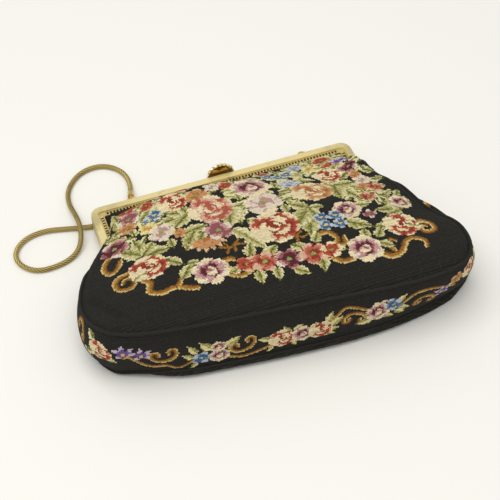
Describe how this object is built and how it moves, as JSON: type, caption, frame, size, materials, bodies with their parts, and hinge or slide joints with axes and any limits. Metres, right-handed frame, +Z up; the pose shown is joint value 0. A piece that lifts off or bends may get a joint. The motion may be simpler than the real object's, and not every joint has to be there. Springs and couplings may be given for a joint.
{
  "type": "petit point handbag",
  "caption": "Soft needlework handbag with a gusset, a hinged metal frame with a domed stone-set clasp, and a snake chain handle, lying on its back.",
  "frame": {"origin": "on the table under the middle of the bag's bounding box, the chain and its fittings left out", "axes": "+X along the frame from the chain's loops towards the long side of the bag, +Y from the bottom of the bag to the frame, +Z up from the table through the front panel"},
  "size_m": [0.2651, 0.2014, 0.049],
  "materials": {
    "needlework": "black wool petit point worked with flowers, leaves and scrolls",
    "piping": "black wool cord",
    "lining": "black satin",
    "frame": "pale brushed gold plate, a little tarnished",
    "clasp": "polished gold plate",
    "stones": "clear cut stones",
    "chain": "antique brass"
  },
  "bodies": {
    "bag": {"front_panel": "needlework", "back_panel": "needlework", "gusset_band": "needlework", "front_piping": "piping", "back_piping": "piping", "lining": "lining", "back_frame": "frame", "back_sewing_strip": "frame", "left_hinge_pin": "frame", "right_hinge_pin": "frame", "clasp_pin": "clasp", "clasp_bracket": "clasp", "left_chain_lug": "frame", "right_chain_lug": "frame", "left_chain_ring": "chain", "right_chain_ring": "chain", "left_chain_cap": "frame", "right_chain_cap": "frame", "chain": "chain"},
    "front_frame": {"front_frame": "frame", "front_sewing_strip": "frame"},
    "clasp": {"clasp_dome": "clasp", "clasp_stones": "stones", "clasp_claw": "clasp"}
  },
  "joints": [
    {"name": "frame_hinge", "type": "hinge", "parent": "bag", "child": "front_frame", "pos_m": [0, 0.02654, 0.0098], "axis": [1, 0, 0], "range_deg": [0, 75], "deforming": ["front_panel", "lining"]},
    {"name": "clasp_hinge", "type": "hinge", "parent": "bag", "child": "clasp", "pos_m": [0, 0.07774, 0.004], "axis": [-1, 0, 0], "range_deg": [0, 60]}
  ]
}
